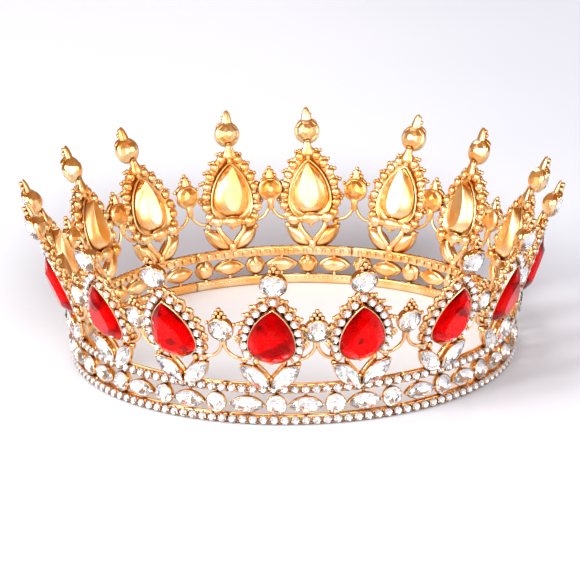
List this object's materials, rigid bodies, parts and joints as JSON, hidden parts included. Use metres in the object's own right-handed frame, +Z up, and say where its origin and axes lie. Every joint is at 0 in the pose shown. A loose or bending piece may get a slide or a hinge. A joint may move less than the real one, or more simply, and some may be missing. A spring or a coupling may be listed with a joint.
{
  "type": "rhinestone tiara",
  "caption": "Full round flared crown of pierced cast gold panels, set with red pear stones and clear round and marquise stones.",
  "frame": {"origin": "centre of the crown's circle, on the plane that the lower rail rests on", "axes": "+Z up along the crown's axis, -Y towards the middle of panel 1, +X to its right"},
  "size_m": [0.1828, 0.1828, 0.061],
  "materials": {
    "cast_gold": "polished gold plate outside, satin on the cast backs",
    "red_glass": "cut red glass, foiled back",
    "clear_glass": "cut clear glass, foiled back"
  },
  "bodies": {
    "root": {"crown_panel_1": "cast_gold", "crown_panel_2": "cast_gold", "crown_panel_3": "cast_gold", "crown_panel_4": "cast_gold", "crown_panel_5": "cast_gold", "crown_panel_6": "cast_gold", "crown_panel_7": "cast_gold", "crown_panel_8": "cast_gold", "pear_stone_1": "red_glass", "pear_stone_2": "red_glass", "pear_stone_3": "red_glass", "pear_stone_4": "red_glass", "pear_stone_5": "red_glass", "pear_stone_6": "red_glass", "pear_stone_7": "red_glass", "pear_stone_8": "red_glass", "pear_stone_9": "red_glass", "pear_stone_10": "red_glass", "pear_stone_11": "red_glass", "pear_stone_12": "red_glass", "pear_stone_13": "red_glass", "pear_stone_14": "red_glass", "pear_stone_15": "red_glass", "pear_stone_16": "red_glass", "top_stone_1": "clear_glass", "top_stone_2": "clear_glass", "top_stone_3": "clear_glass", "top_stone_4": "clear_glass", "top_stone_5": "clear_glass", "top_stone_6": "clear_glass", "top_stone_7": "clear_glass", "top_stone_8": "clear_glass", "top_stone_9": "clear_glass", "top_stone_10": "clear_glass", "top_stone_11": "clear_glass", "top_stone_12": "clear_glass", "top_stone_13": "clear_glass", "top_stone_14": "clear_glass", "top_stone_15": "clear_glass", "top_stone_16": "clear_glass", "between_stones": "clear_glass", "leaf_stones": "clear_glass", "navette_stones": "clear_glass", "band_round_stones": "clear_glass"}
  },
  "joints": []
}
